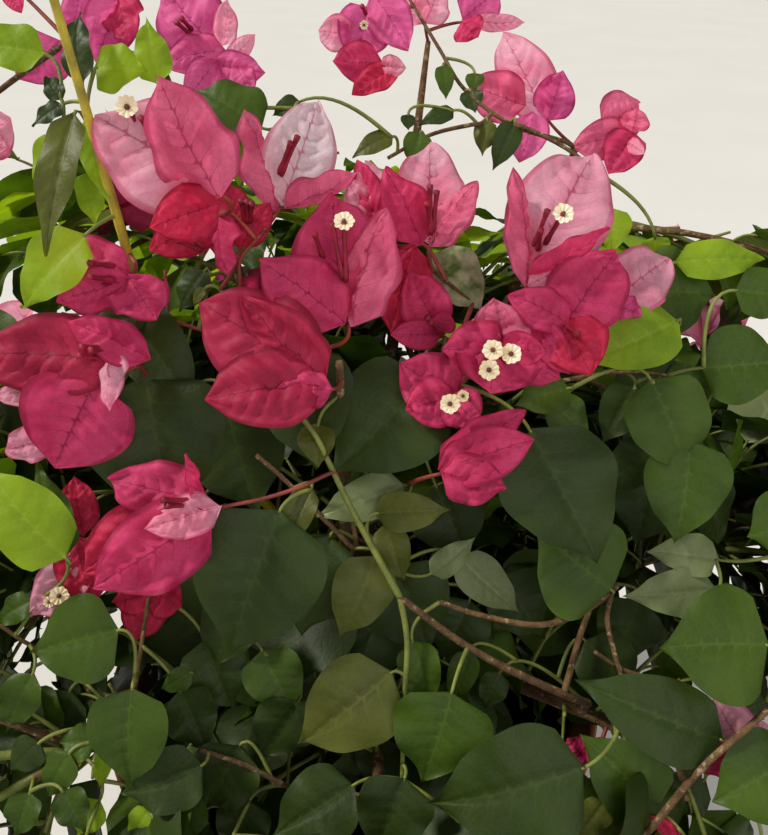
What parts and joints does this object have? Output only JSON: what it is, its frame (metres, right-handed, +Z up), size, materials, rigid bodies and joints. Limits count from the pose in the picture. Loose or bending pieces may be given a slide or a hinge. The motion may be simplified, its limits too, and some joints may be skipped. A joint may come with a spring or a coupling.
{
  "type": "bougainvillea bush in a pot",
  "caption": "Flowering bougainvillea bush with papery bracts on arching shoots, rooted in soil in a tapered terracotta pot.",
  "frame": {"origin": "centre of the pot's flat underside", "axes": "+Z up; -Y is the side that the picture sees; +X to the right in that view"},
  "size_m": [0.6346, 0.5676, 0.6128],
  "materials": {
    "terracotta": "matt fired clay",
    "soil": "crumbly potting soil",
    "bark": "rough grey-brown bark",
    "leaf": "satin green leaf",
    "bract": "papery crimson-pink bract",
    "flower": "cream flower with a maroon tube"
  },
  "bodies": {
    "root": {"bough_back_left": "bark", "bough_back_right": "bark", "bough_front": "bark", "bough_front_left": "bark", "bough_front_right": "bark", "bough_left": "bark", "bough_right": "bark", "bough_spray_back": "bark", "bough_spray_left": "bark", "bough_spray_right": "bark", "bough_tall_shoot": "bark", "bough_top_back": "bark", "bough_top_front": "bark", "foliage_back_left": "leaf", "foliage_back_right": "leaf", "foliage_front": "leaf", "foliage_front_left": "leaf", "foliage_front_right": "leaf", "foliage_left": "leaf", "foliage_right": "leaf", "foliage_spray_back": "leaf", "foliage_spray_left": "leaf", "foliage_spray_right": "leaf", "foliage_tall_shoot": "leaf", "foliage_top_back": "leaf", "foliage_top_front": "leaf", "pot": "terracotta", "soil": "soil", "trunk": "bark"}
  },
  "joints": []
}
